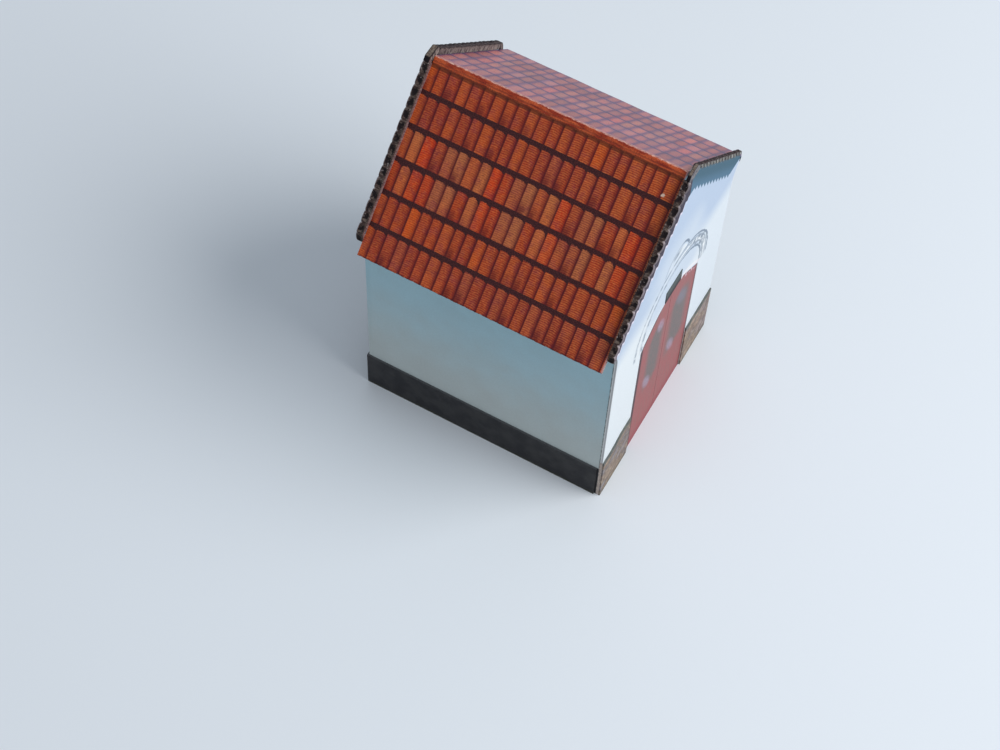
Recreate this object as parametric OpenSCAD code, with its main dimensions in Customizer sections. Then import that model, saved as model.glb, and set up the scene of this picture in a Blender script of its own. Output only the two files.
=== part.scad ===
// Card model of a small wayside chapel: steep tiled roof between two parapet gables,
// printed front with an arched red door, dark socle strips round the foot.
// Millimetres at the model's own size. X is left to right, Y is front to back, Z is up.
// The origin lies on the ground under the middle of the model, and the front looks along -Y.

/* [Body] */
// Width over the side walls
body_w = 39.2; // [30:0.2:60]
// Length from the front face to the back face of the gables
body_l = 44.3; // [30:0.1:80]
// Thickness of the card of the side walls
wall_t = 1; // [0.6:0.1:2]

/* [Gables] */
// Thickness of the gable's carrying card
core_t = 0.6; // [0.4:0.1:1.5]
// Thickness of the printed sheet glued on the gable
sheet_t = 0.2; // [0.15:0.05:0.5]
// How far the gable widens on each side to carry its tiles
kneeler_out = 1.6; // [0.5:0.1:2.2]
// Height of the curved widening
kneeler_h = 4; // [2:0.1:4.5]
// Height of the upright edge over the curved widening
kneeler_edge = 1.4; // [0.5:0.1:3]
// How far the gable's sloping edge stands above the roof, square to the slope
parapet_up = 0.42; // [0.2:0.02:2]
// Half width of the flat top of the gable
crown_half = 1.2; // [0.8:0.1:2]

/* [Roof] */
// Slope of the roof in degrees
pitch = 44; // [38:1:48]
// Height of the eaves at the upper face of the roof card
eave_z = 44; // [40:0.5:55]
// How far the eaves reach past the side walls
eave_out = 4; // [2.5:0.1:6]
// Thickness of the printed roof card
roof_t = 0.5; // [0.3:0.1:1]

/* [Parapet tiles] */
// Height of the tile row's bed on the gable, square to the slope
tile_bed = 0.9; // [0.6:0.05:1.5]
// Height of the round back of each tile over the bed
tile_round = 0.4; // [0.2:0.05:0.6]
// Width of one tile along the slope
tile_w = 1.85; // [1.5:0.05:2.5]
// Groove between neighbouring tiles
tile_gap = 0.15; // [0.05:0.05:0.4]
// How far the tiles stand out in front of the gable
tile_lip = 0.3; // [0.3:0.05:0.8]
// How far the tiles' round ends hang over the gable's face
tile_drop = 0.3; // [0.15:0.05:0.6]
// Strip of the gable's edge that stays bare behind the tiles
tile_back = 0.2; // [0:0.05:0.3]
// How far the tile row reaches past the gable's widened shoulder
tile_end = 0.15; // [0:0.05:0.5]
// Height of the round back of the tile on the flat top
crown_round = 1.4; // [0.5:0.05:1.6]

/* [Door] */
// Width of the doorway in the printed sheet
door_w = 20; // [12:0.2:24]
// Height of the straight sides of the doorway
door_side_h = 31.3; // [20:0.1:33]
// Height that the low arch adds over the sides
door_rise = 4.8; // [2:0.1:5.8]
// Thickness of the two printed leaves
leaf_t = 0.12; // [0.08:0.01:0.15]
// Gap round each leaf
leaf_gap = 0.05; // [0.02:0.01:0.15]
// Width of the keystone
keystone_w = 5.4; // [3:0.1:8]
// Height of the keystone
keystone_h = 2.8; // [1.5:0.1:4]
// Thickness of the keystone
keystone_t = 0.12; // [0.1:0.01:0.25]

/* [Socle] */
// Height of the stone socle on the front
front_socle_h = 11.6; // [6:0.1:15]
// Thickness of the stone socle on the front
front_socle_t = 0.25; // [0.15:0.05:0.3]
// Height of the dark socle on the sides and back
side_socle_h = 8.5; // [5:0.1:14]
// Thickness of the dark socle on the sides and back
side_socle_t = 0.3; // [0.15:0.05:0.3]
// Gap between the stone socle and the doorway
socle_gap = 0.1; // [0:0.05:0.5]

/* [Hidden] */
// Facets of a large arc and of a tile
arc_fn = 96;
tile_fn = 32;

half_w = body_w / 2;
half_l = body_l / 2;
gable_t = core_t + sheet_t;
inner_l = body_l - 2 * gable_t;
shoulder_x = half_w + kneeler_out;
eave_x = half_w + eave_out;
// Heights on the middle plane of the lines that run down with the roof's slope
ridge_z = eave_z + tan(pitch) * eave_x;
roof_under_z = ridge_z - roof_t / cos(pitch);
rim_z = ridge_z + parapet_up / cos(pitch);
crown_z = slope_z(rim_z, crown_half);
shoulder_z = slope_z(rim_z, shoulder_x);
kneeler_z = shoulder_z - kneeler_edge - kneeler_h;
// The tile row, measured along the gable's sloping edge from its flat top
row_l = (shoulder_x - crown_half) / cos(pitch) + tile_end;
tile_n = round(row_l / tile_w);
tile_step = row_l / tile_n;
tile_depth = tile_lip + gable_t - tile_back;
// The kneeler's curve starts upright on the wall, and the door's arch rises over its sides
kneeler_r = arc_radius(2 * kneeler_h, kneeler_out);
door_r = arc_radius(door_w, door_rise);
door_top_z = door_side_h + door_rise;

white = [0.86, 0.90, 0.93];
shade = [0.78, 0.82, 0.85];
tile_red = [0.68, 0.26, 0.12];
tile_dark = [0.18, 0.15, 0.14];
door_red = [0.60, 0.36, 0.36];
stone = [0.52, 0.48, 0.44];
charcoal = [0.13, 0.13, 0.15];

// Radius of the circle whose arc spans a chord and rises by a height over it
function arc_radius(chord, rise) = (chord * chord / 4 + rise * rise) / (2 * rise);

// Height of a line that starts at z0 on the middle plane and falls with the roof
function slope_z(z0, x) = z0 - tan(pitch) * abs(x);

// A flat shape in the X-Z plane, thickened from y towards the back
module upright(y, t) {
    translate([0, y + t, 0])
        rotate([90, 0, 0])
            linear_extrude(height = t)
                children();
}

// Something made for the right side, on the right (1) or the left (-1)
module side(s) {
    mirror([s < 0 ? 1 : 0, 0, 0])
        children();
}

// Something made for the front, turned over to the back
module at_back() {
    mirror([0, 1, 0])
        children();
}

// The part of a circle over its chord, which lies on the x axis, and down to a depth under it
module arc_segment(chord, rise, depth) {
    r = arc_radius(chord, rise);
    intersection() {
        translate([0, rise - r])
            circle(r = r, $fn = tile_fn);
        translate([-r, -depth])
            square([2 * r, depth + 2 * rise]);
    }
}

// Right half of the gable: wall edge, hollow curve out to the shoulder, slope, flat top
module half_gable_outline() {
    difference() {
        polygon([
            [0, 0],
            [half_w, 0],
            [half_w, kneeler_z],
            [shoulder_x, kneeler_z],
            [shoulder_x, shoulder_z],
            [crown_half, crown_z],
            [0, crown_z]
        ]);
        translate([half_w + kneeler_r, kneeler_z])
            circle(r = kneeler_r, $fn = arc_fn);
    }
}

module gable_outline() {
    half_gable_outline();
    mirror([1, 0])
        half_gable_outline();
}

// Doorway with a low arch, made smaller at its sides and top by a gap
module door_outline(gap) {
    intersection() {
        translate([-door_w / 2 + gap, 0])
            square([door_w - 2 * gap, door_top_z]);
        union() {
            translate([-door_w / 2, 0])
                square([door_w, door_side_h]);
            translate([0, door_top_z - door_r])
                circle(r = door_r - gap, $fn = arc_fn);
        }
    }
}

module gable_card() {
    color(white)
        upright(-half_l + sheet_t, core_t)
            gable_outline();
}

module front_card() {
    gable_card();
}

// Printed sheet of the front, cut out for the doorway down to the ground
module front_sheet() {
    color(white)
        upright(-half_l, sheet_t)
            difference() {
                gable_outline();
                door_outline(0);
            }
}

module back_card() {
    at_back()
        gable_card();
}

module back_sheet() {
    color(white)
        at_back()
            upright(-half_l, sheet_t)
                gable_outline();
}

// A side wall stands between the gables, its top cut to the slope of the roof
module wall(s) {
    color(shade)
        side(s)
            upright(-inner_l / 2, inner_l)
                polygon([
                    [half_w - wall_t, 0],
                    [half_w, 0],
                    [half_w, slope_z(roof_under_z, half_w)],
                    [half_w - wall_t, slope_z(roof_under_z, half_w - wall_t)]
                ]);
}

module left_wall() {
    wall(-1);
}

module right_wall() {
    wall(1);
}

// A roof card lies between the gables, mitred at the ridge and square at the eaves
module roof(s) {
    color(tile_red)
        side(s)
            upright(-inner_l / 2, inner_l)
                polygon([
                    [0, ridge_z],
                    [eave_x, slope_z(ridge_z, eave_x)],
                    [eave_x - roof_t * sin(pitch), slope_z(ridge_z, eave_x) - roof_t * cos(pitch)],
                    [0, roof_under_z]
                ]);
}

module roof_left() {
    roof(-1);
}

module roof_right() {
    roof(1);
}

// Places a flat shape on the gable's sloping edge, x down the slope from the flat top
module on_rim() {
    translate([crown_half, crown_z])
        rotate(-pitch)
            children();
}

// One round tile end for each step along the slope, rooted in the bed under the x axis
module tile_ends(rise) {
    for (i = [0 : tile_n - 1])
        translate([(i + 0.5) * tile_step, 0])
            arc_segment(tile_step - tile_gap, rise, tile_bed / 2);
}

// Bed of the tile row with the tiles' round backs over it
module tile_backs_outline() {
    square([row_l, tile_bed]);
    translate([0, tile_bed])
        tile_ends(tile_round);
}

// The same with the tiles' round ends under it, which hang over the gable's face
module tile_front_outline() {
    tile_backs_outline();
    mirror([0, 1])
        tile_ends(tile_drop);
}

// Tile row on one slope of the front gable
module tile_row() {
    color(tile_dark) {
        upright(-half_l - tile_lip, tile_depth)
            on_rim()
                tile_backs_outline();
        upright(-half_l - tile_lip, tile_lip)
            on_rim()
                tile_front_outline();
    }
}

// Round tile on the flat top, filling the wedge between the two rows
module crown_tile() {
    tip_x = crown_half + tile_bed * sin(pitch);
    tip_z = crown_z + tile_bed * cos(pitch);
    color(tile_dark)
        upright(-half_l - tile_lip, tile_depth) {
            polygon([
                [-crown_half, crown_z],
                [crown_half, crown_z],
                [tip_x, tip_z],
                [-tip_x, tip_z]
            ]);
            translate([0, tip_z])
                arc_segment(2 * tip_x, crown_round, 0);
        }
}

module front_tiles_left() {
    side(-1)
        tile_row();
}

module front_tiles_right() {
    tile_row();
}

module front_crown_tile() {
    crown_tile();
}

module back_tiles_left() {
    at_back()
        side(-1)
            tile_row();
}

module back_tiles_right() {
    at_back()
        tile_row();
}

module back_crown_tile() {
    at_back()
        crown_tile();
}

// One leaf lies in the doorway of the printed sheet, glued on the card behind it
module door_leaf(s) {
    color(door_red)
        side(s)
            upright(-half_l + sheet_t - leaf_t, leaf_t)
                intersection() {
                    door_outline(leaf_gap);
                    translate([leaf_gap / 2, 0])
                        square([door_w, door_top_z]);
                }
}

module door_leaf_left() {
    door_leaf(-1);
}

module door_leaf_right() {
    door_leaf(1);
}

module keystone() {
    color(charcoal)
        upright(-half_l - keystone_t, keystone_t)
            translate([-keystone_w / 2, door_top_z])
                square([keystone_w, keystone_h]);
}

module front_socle(s) {
    color(stone)
        side(s)
            upright(-half_l - front_socle_t, front_socle_t)
                translate([door_w / 2 + socle_gap, 0])
                    square([half_w - door_w / 2 - socle_gap, front_socle_h]);
}

module front_socle_left() {
    front_socle(-1);
}

module front_socle_right() {
    front_socle(1);
}

// The side strip starts behind the front gable and covers the end of the back strip
module side_socle(s) {
    color(charcoal)
        side(s)
            translate([half_w, -half_l + gable_t, 0])
                cube([side_socle_t, body_l - gable_t + side_socle_t, side_socle_h]);
}

module left_socle() {
    side_socle(-1);
}

module right_socle() {
    side_socle(1);
}

module back_socle() {
    color(charcoal)
        translate([-half_w, half_l, 0])
            cube([body_w, side_socle_t, side_socle_h]);
}

front_card();
front_sheet();
back_card();
back_sheet();
left_wall();
right_wall();
roof_left();
roof_right();
front_tiles_left();
front_tiles_right();
front_crown_tile();
back_tiles_left();
back_tiles_right();
back_crown_tile();
door_leaf_left();
door_leaf_right();
keystone();
front_socle_left();
front_socle_right();
left_socle();
right_socle();
back_socle();
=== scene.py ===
"""Looks of a small paper model of a wayside chapel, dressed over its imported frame.

Shapes are worked out in millimetres and put into the meshes in metres. The card pieces keep
the frame's own solids. The folded roof sheet, the parapet's tile strips and the stone strips
beside the door are made here as grids, and the prints are drawn by nodes.
"""

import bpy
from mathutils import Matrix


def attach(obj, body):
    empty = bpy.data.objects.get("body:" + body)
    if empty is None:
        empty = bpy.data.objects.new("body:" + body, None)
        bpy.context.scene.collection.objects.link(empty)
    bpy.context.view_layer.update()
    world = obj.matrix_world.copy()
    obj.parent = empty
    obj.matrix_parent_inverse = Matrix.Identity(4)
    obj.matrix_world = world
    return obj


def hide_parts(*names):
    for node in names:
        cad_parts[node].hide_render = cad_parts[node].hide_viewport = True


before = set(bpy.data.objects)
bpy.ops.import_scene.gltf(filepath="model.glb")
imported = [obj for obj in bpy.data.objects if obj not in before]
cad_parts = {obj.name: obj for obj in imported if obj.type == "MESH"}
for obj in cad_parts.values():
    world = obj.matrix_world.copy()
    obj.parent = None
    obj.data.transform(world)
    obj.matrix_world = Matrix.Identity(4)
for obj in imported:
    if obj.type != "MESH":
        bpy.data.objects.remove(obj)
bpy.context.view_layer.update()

import itertools
import math

import bpy
import numpy as np
from bpy.props import FloatProperty, FloatVectorProperty, IntProperty, PointerProperty
from mathutils import Quaternion, Vector

bl_info = {
    "name": "Paper Chapel Looks",
    "version": (1, 0, 0),
    "blender": (4, 5, 0),
    "location": "3D View > Sidebar > Chapel",
    "description": "Prints, tile strips and stage for a paper model of a wayside chapel",
    "category": "Object",
}

MM = 0.001
SHEET_MAP = "sheet"
# Signs of the sides across the model, and of its ends, with the front towards -Y
SIDES = {"left": -1, "right": 1}
ENDS = {"front": 1, "back": -1}
# First seed of the tile rows, and the angles in degrees over which edges stay sharp
ROW_SEED = 40
SHEET_SHARP = 40
STRIP_SHARP = 50
# Width of the floor and nearest seen distance in metres, and the camera's sensor in millimetres
FLOOR_WIDTH = 8.0
NEAREST = 0.01
SENSOR_WIDTH = 36.0
# Points within this many millimetres of a height lie on it
SAME_HEIGHT = 0.001


def node_points(node):
    """The corners of a frame node's mesh in millimetres, one in each row."""
    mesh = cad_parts[node].data
    points = np.empty(len(mesh.vertices) * 3)
    mesh.vertices.foreach_get("co", points)
    return points.reshape(-1, 3) / MM


# Sizes of the frame in millimetres, read from its own nodes
ROOF = node_points("roof_right")
GABLE = node_points("front_sheet")
ROW = node_points("front_tiles_right")
RIDGE_Z = ROOF[:, 2].max()
EAVE_X = ROOF[:, 0].max()
EAVE_Z = ROOF[ROOF[:, 0].argmax(), 2]
ROOF_END = ROOF[:, 1].max()
PITCH = math.atan2(RIDGE_Z - EAVE_Z, EAVE_X)
SLOPE_L = math.hypot(RIDGE_Z - EAVE_Z, EAVE_X)
ROOF_T = (EAVE_Z - ROOF[:, 2].min()) / math.cos(PITCH)
FACE_Y = GABLE[:, 1].min()
CROWN_Z = GABLE[:, 2].max()
CROWN_HALF = GABLE[GABLE[:, 2] > CROWN_Z - SAME_HEIGHT, 0].max()
RIM_Z = CROWN_Z + math.tan(PITCH) * CROWN_HALF
SHOULDER_X = GABLE[:, 0].max()
STRIP_FRONT = ROW[:, 1].min()
STRIP_BACK = ROW[:, 1].max()
DOOR = node_points("door_leaf_right")
DOOR_HALF = DOOR[:, 0].max()
DOOR_TOP = DOOR[:, 2].max()
SIDE_SOCLE_TOP = node_points("left_socle")[:, 2].max()
STONE = node_points("front_socle_right")
STONE_TOP = STONE[:, 2].max()


def row_length():
    """Length of a tile row down its slope: the furthest of its corners along the slope."""
    along = (ROW[:, 0] - CROWN_HALF) * math.cos(PITCH) + (CROWN_Z - ROW[:, 2]) * math.sin(PITCH)
    return along.max()


def srgb(red, green, blue):
    """A screen colour of 0 to 255 as the linear colour that a shader takes."""
    parts = np.array([red, green, blue]) / 255
    return tuple(np.where(parts <= 0.04045, parts / 12.92, ((parts + 0.055) / 1.055) ** 2.4))


def mm(length):
    """A property's metres as millimetres."""
    return length / MM


def size_property(name, description, default):
    """A length that the user can change, given in millimetres and kept in metres."""
    return FloatProperty(
        name=name,
        description=description,
        default=default * MM,
        unit="LENGTH",
        subtype="DISTANCE",
        precision=5,
    )


def colour_property(name, description, default):
    """A colour that the user can change, given as a screen colour of 0 to 255."""
    return FloatVectorProperty(
        name=name,
        description=description,
        default=srgb(*default),
        size=3,
        min=0,
        max=1,
        subtype="COLOR",
    )


def angle_property(name, description, default):
    """An angle that the user can change, given in degrees and kept in radians."""
    return FloatProperty(
        name=name,
        description=description,
        default=math.radians(default),
        unit="ROTATION",
        subtype="ANGLE",
    )


class RoofLook(bpy.types.PropertyGroup):
    """Sizes and colours of the printed roof sheet."""

    tile_width: size_property("Tile width", "Mean width of a printed tile", 1.92)
    course_height: size_property("Course height", "Height of a course of tiles on the slope", 5.43)
    first_course: size_property("First course", "Height of the eaves course on the slope", 5.37)
    band_height: size_property("Band height", "Height of the dark band over a course", 0.72)
    rib_spacing: size_property("Rib spacing", "Distance between the fine ribs of a tile", 0.335)
    ridge_band: size_property("Ridge band", "Height of the plain print under the fold", 1.35)
    fold_radius: size_property("Fold radius", "Radius of the ridge fold", 0.3)
    back_gap: size_property("Back gap", "How far the sheet stops short of the back gable", 0.4)
    orange: colour_property("Orange", "Brightest tiles", (216, 84, 20))
    brick: colour_property("Brick", "Most tiles", (170, 58, 32))
    tan: colour_property("Tan", "Greyish tiles", (168, 90, 64))
    joint: colour_property("Joint", "Shade between the tiles", (84, 14, 26))
    band: colour_property("Band", "Shade over each course", (54, 22, 26))
    # Mauve is painted sheen over the right slope, seen at a grazing angle
    mauve_sheen: colour_property("Mauve", "Cool tone of the right slope", (140, 132, 192))


class StripLook(bpy.types.PropertyGroup):
    """Sizes and colours of the parapet's tile strips."""

    tiles: IntProperty(name="Tiles", description="Tiles of a row on its slope", default=15, min=4, max=40)
    lip: size_property("Lip", "Depth of the tiles' front lip", 0.3)
    bed: size_property("Bed", "Height of the row at a joint, square to the slope", 0.7)
    scallop: size_property("Scallop", "How far a tile's middle stands out before its joints", 0.24)
    round_back: size_property("Round back", "Height of a tile's round back over its bed", 0.14)
    drop: size_property("Drop", "How far a tile's end of the front left row hangs over the gable", 0.3)
    small_drop: size_property("Small drop", "How far the other rows' tiles hang over the gable", 0.08)
    setback: size_property("Setback", "How far the other rows keep behind the front left one", 0.24)
    lean: size_property("Lean", "How much further back they are at the top", 0.17)
    hollow: size_property("Hollow", "Depth of the dark hollow behind the lip", 0.25)
    foot: size_property("Foot", "How far the inner face reaches below the gable's edge", 0.38)
    corner: size_property("Corner", "Radius of the line round the shoulder", 0.15)
    corner_length: size_property("Corner length", "Length of the print round the shoulder", 0.7)
    front_reach: size_property("Front reach", "How far the front rows reach over the roof", 0.22)
    back_reach: size_property("Back reach", "How far the back rows reach over the roof", 0.62)
    crown_front: size_property("Front crown", "Height of the front crown tile over its bed", 1.54)
    crown_back: size_property("Back crown", "Height of the back crown tile over its bed", 1.3)
    # Dark is also painted shadow in the tiles' hollows
    dark: colour_property("Dark", "Hollows and outline", (20, 14, 18))
    brown: colour_property("Brown", "Tiles in their print", (60, 46, 44))
    beige: colour_property("Beige", "Light streaks", (106, 94, 86))
    # Lilac is the left rows' lip, and their face away from the crown where no painted shade lies
    lilac: colour_property("Lilac", "Worn paper of the left slope", (146, 134, 140))
    # Painted highlights at the joints
    mark: colour_property("Mark", "Light marks at the joints", (206, 192, 190))


class FacadeLook(bpy.types.PropertyGroup):
    """Sizes and colours of the printed gable sheets."""

    left_shade: size_property("Left shade", "Height of the left slope's shade at the top", 5.85)
    left_taper: FloatProperty(name="Left taper", description="Loss of shade for its way out", default=0.105)
    right_shade: size_property("Right shade", "Height of the shade under the right slope", 4.95)
    tooth: size_property("Tooth", "Width of the shade's teeth along the slope", 1.86)
    tooth_height: size_property("Tooth height", "Height of the shade's teeth", 1.0)
    shade_foot: size_property("Shade foot", "Height at which the right shade ends", 46.2)
    flat_top: size_property("Flat top", "Height of the shade's level edge at the top", 61.5)
    mould_middle: size_property("Mould height", "Height of the hood mould's centre", 33.2)
    mould_inner: size_property("Mould inside", "Inner radius of the hood mould", 10.0)
    mould_outer: size_property("Mould outside", "Outer radius of the hood mould", 12.6)
    mould_foot: size_property("Mould foot", "Height at which the hood mould ends", 31.8)
    crest_middle: size_property("Crest height", "Height of the centre of the mould's crest", 43.8)
    crest_radius: size_property("Crest radius", "Radius of the mould's crest", 4.2)
    white: colour_property("White", "Plaster", (234, 242, 248))
    lavender: colour_property("Lavender", "Plaster high up", (191, 208, 231))
    blue_shade: colour_property("Blue shade", "Shade under the right slope", (66, 100, 119))
    plum_shade: colour_property("Plum shade", "Shade under the left slope", (64, 56, 70))
    line: colour_property("Line", "Lines of the hood mould", (98, 118, 140))


class DoorLook(bpy.types.PropertyGroup):
    """Sizes and colours of the printed door and its keystone."""

    light_width: size_property("Light width", "Width of the grey light in a leaf", 5.6)
    light_foot: size_property("Light foot", "Height at which the lights start", 14.6)
    light_head: size_property("Light head", "Height at which the lights end", 31.6)
    frame_line: size_property("Frame line", "Width of the dark line at the left jamb", 1.15)
    arch_rise: size_property("Arch rise", "How far the arch's crown is over its ends", 4.8)
    haunch: FloatProperty(name="Haunch", description="Slope of the printed door head", default=0.677)
    red: colour_property("Red", "Paint of the leaves", (160, 88, 90))
    foot_red: colour_property("Foot red", "Paint at the foot of the leaves", (150, 60, 70))
    glass: colour_property("Glass", "Grey of the lights", (106, 104, 104))
    plaster: colour_property("Plaster", "Plaster beside the printed door head", (228, 237, 246))
    keystone: colour_property("Keystone", "Keystone over the door", (76, 84, 84))


class SocleLook(bpy.types.PropertyGroup):
    """Sizes and colours of the strips round the foot."""

    stone_width: size_property("Stone width", "Mean width of a printed stone", 3.6)
    stone_height: size_property("Stone height", "Mean height of a printed stone", 2.4)
    step: size_property("Step", "How much lower the left stone strip is at the corner", 0.9)
    charcoal: colour_property("Charcoal", "Plain strips of the sides and back", (40, 40, 44))
    stone_brown: colour_property("Stone brown", "Warm stones", (158, 138, 122))
    stone_grey: colour_property("Stone grey", "Cool stones", (140, 134, 138))


class WallLook(bpy.types.PropertyGroup):
    """Colours of the plain card."""

    # High is painted shade under the eaves, and low painted bounce light from the floor
    high: colour_property("Wall, high", "Wall card under the eaves", (177, 215, 230))
    low: colour_property("Wall, low", "Wall card over the socle", (201, 212, 213))
    cut: colour_property("Cut edge", "Core of the card where it is cut", (234, 238, 240))
    foot_joint: colour_property("Foot joint", "Gables' side edges beside the dark strips", (26, 26, 30))


class StageLook(bpy.types.PropertyGroup):
    """Camera, lamps and floor."""

    lens: FloatProperty(
        name="Lens",
        description="Focal length",
        default=75.99,
        subtype="DISTANCE_CAMERA",
    )
    place: FloatVectorProperty(
        name="Camera place",
        description="Where the camera stands",
        default=(-0.1763, -0.08065, 0.3113),
        size=3,
        subtype="TRANSLATION",
        unit="LENGTH",
    )
    azimuth: angle_property("Azimuth", "Turn of the camera round the model", -63.52)
    elevation: angle_property("Elevation", "Height of the camera over the horizon", 58.79)
    roll: angle_property("Roll", "Tilt of the picture", 3.27)
    key: FloatProperty(name="Key", description="Light of the key lamp on a facing white card", default=0.86)
    ambient: FloatProperty(name="Ambient", description="Light of the surroundings", default=0.5)
    key_from: FloatVectorProperty(
        name="Key from", description="Direction of the key lamp", default=(0.17, -0.70, 0.69), size=3
    )
    key_distance: size_property("Key distance", "Distance of the key lamp", 700)
    key_size: size_property("Key size", "Width of the key lamp", 600)
    sky: colour_property("Sky", "Tint of the surroundings", (236, 245, 255))
    floor: colour_property("Floor", "Floor and backdrop as they are seen", (224, 229, 234))
    bounce: colour_property("Bounce", "Floor as it lights the model", (168, 166, 162))


class Value:
    """A socket of a finish. Arithmetic with numbers or other values adds Math nodes."""

    def __init__(self, finish, socket):
        self.finish = finish
        self.socket = socket

    def math(self, operation, *others):
        """This number with others through a Math node."""
        return self.finish.math(operation, self, *others)

    def __add__(self, other):
        return self.math("ADD", other)

    def __sub__(self, other):
        return self.math("SUBTRACT", other)

    def __mul__(self, other):
        return self.math("MULTIPLY", other)

    def __truediv__(self, other):
        return self.math("DIVIDE", other)

    def __pow__(self, other):
        return self.math("POWER", other)

    def __abs__(self):
        return self.math("ABSOLUTE")

    def __rsub__(self, other):
        return self.finish.math("SUBTRACT", other, self)

    def __rtruediv__(self, other):
        return self.finish.math("DIVIDE", other, self)

    def __rpow__(self, other):
        return self.finish.math("POWER", other, self)

    # The order of a sum or a product doesn't matter
    __radd__ = __add__
    __rmul__ = __mul__

    def floor(self):
        """The whole number below."""
        return self.math("FLOOR")

    def fract(self):
        """What is over the whole number below."""
        return self.math("FRACT")

    def sine(self):
        """Sine of this angle in radians."""
        return self.math("SINE")

    def most(self, other):
        """The larger of two numbers."""
        return self.math("MAXIMUM", other)

    def rise(self, low, high):
        """Smooth step from 0 at low to 1 at high."""
        settings = {"interpolation_type": "SMOOTHSTEP"}
        inputs = {"Value": self, "From Min": low, "From Max": high, "To Min": 0.0, "To Max": 1.0}
        return self.finish.node("MapRange", settings, inputs, "Result")

    def fall(self, low, high):
        """Smooth step from 1 at low to 0 at high."""
        return 1 - self.rise(low, high)

    def line(self, middle, width):
        """1 on the middle value, fading to 0 at half a width on each side."""
        return abs(self - middle).fall(width * 0.25, width * 0.5)


class Finish:
    """A material with one Principled shader, and the one way in which its nodes are made."""

    def __init__(self, name, roughness, specular):
        self.material = bpy.data.materials.new(name)
        self.material.use_nodes = True
        self.tree = self.material.node_tree
        self.tree.nodes.clear()
        self.shader = self.tree.nodes.new("ShaderNodeBsdfPrincipled")
        output = self.tree.nodes.new("ShaderNodeOutputMaterial")
        self.tree.links.new(self.shader.outputs[0], output.inputs["Surface"])
        self.shader.inputs["Roughness"].default_value = roughness
        self.shader.inputs["Specular IOR Level"].default_value = specular

    def feed(self, socket, value):
        """Links a value to a socket, or sets the socket to a plain number or colour."""
        if isinstance(value, Value):
            self.tree.links.new(value.socket, socket)
        elif socket.type == "RGBA":
            socket.default_value = (*value, 1.0)
        else:
            socket.default_value = value

    def node(self, kind, settings=None, inputs=None, output=0):
        """A node with its settings made first, then its sockets, and the value it gives out."""
        node = self.tree.nodes.new("ShaderNode" + kind)
        for name, setting in (settings or {}).items():
            if name == "stops":
                while len(node.color_ramp.elements) < len(setting):
                    node.color_ramp.elements.new(1.0)
                for stop, (position, colour) in zip(node.color_ramp.elements, setting):
                    stop.position = position
                    stop.color = (*colour, 1.0)
            else:
                setattr(node, name, setting)
        for name, value in (inputs or {}).items():
            self.feed(node.inputs[name], value)
        return Value(self, node.outputs[output])

    def math(self, operation, *numbers):
        """A Math node."""
        return self.node("Math", {"operation": operation}, dict(enumerate(numbers)))

    def mix(self, share, first, second):
        """Colour between two colours."""
        inputs = {0: share, 6: first, 7: second}
        return self.node("Mix", {"data_type": "RGBA"}, inputs, 2)

    def laid(self, colour, *layers):
        """A colour with others laid over it in turn, each given as its share and its colour."""
        for share, over in layers:
            colour = self.mix(share, colour, over)
        return colour

    def scaled(self, colour, number):
        """A colour made lighter or darker by a number."""
        return self.node("VectorMath", {"operation": "SCALE"}, {0: colour, "Scale": number})

    def vector(self, x, y, z):
        """Three numbers as one vector."""
        return self.node("CombineXYZ", {}, {0: x, 1: y, 2: z})

    def parts(self, vector):
        """The three numbers of a vector."""
        return [self.node("SeparateXYZ", {}, {0: vector}, i) for i in range(3)]

    def place(self):
        """Place on the model in millimetres, as x, y and z."""
        place = self.node("TexCoord", {}, {}, "Object")
        inputs = {0: place, "Scale": 1 / MM}
        return self.parts(self.node("VectorMath", {"operation": "SCALE"}, inputs))

    def sheet(self):
        """Place on the flat sheet in millimetres, across and up, from the piece's own map."""
        return self.parts(self.node("UVMap", {"uv_map": SHEET_MAP}))[:2]

    def noise(self, place, scale, detail=2.0):
        """Soft random number of about 0.3 to 0.7 at a place, with scale grains a millimetre."""
        inputs = {"Vector": self.vector(*place), "Scale": scale, "Detail": detail}
        return self.node("TexNoise", {}, inputs)

    def wander(self, number):
        """Soft random number that changes along one number."""
        return self.node("TexNoise", {"noise_dimensions": "1D"}, {"W": number, "Scale": 1.0, "Detail": 1.0})

    def dice(self, first, second):
        """Three random numbers of 0 to 1 for a pair of whole numbers."""
        pair = self.vector(first + 0.5, second + 0.5, 0.0)
        return self.parts(self.node("TexWhiteNoise", {"noise_dimensions": "2D"}, {"Vector": pair}, "Color"))

    def ramp(self, number, stops):
        """Colour of a number from 0 to 1 along a row of colours, given by their places."""
        return self.node("ValToRGB", {"stops": list(stops.items())}, {"Fac": number})

    def finish(self, colour, height=None, depth=0.02, roughness=None):
        """Feeds the shader with a colour, a relief of a depth in millimetres, and a roughness."""
        self.feed(self.shader.inputs["Base Color"], colour)
        if height is not None:
            inputs = {"Height": height, "Distance": depth * MM, "Strength": 1.0}
            self.feed(self.shader.inputs["Normal"], self.node("Bump", {}, inputs))
        if roughness is not None:
            self.feed(self.shader.inputs["Roughness"], roughness)
        return self.material


def squares(first, second):
    """Sum of the squares of two numbers."""
    return first * first + second * second


def paper_grain(finish, place):
    """Fine fibres and slow swells of paper, about 0.5 in the middle."""
    return finish.noise(place, 3.2, 3.0) * 0.7 + finish.noise(place, 0.25, 1.0) * 0.3


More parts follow.
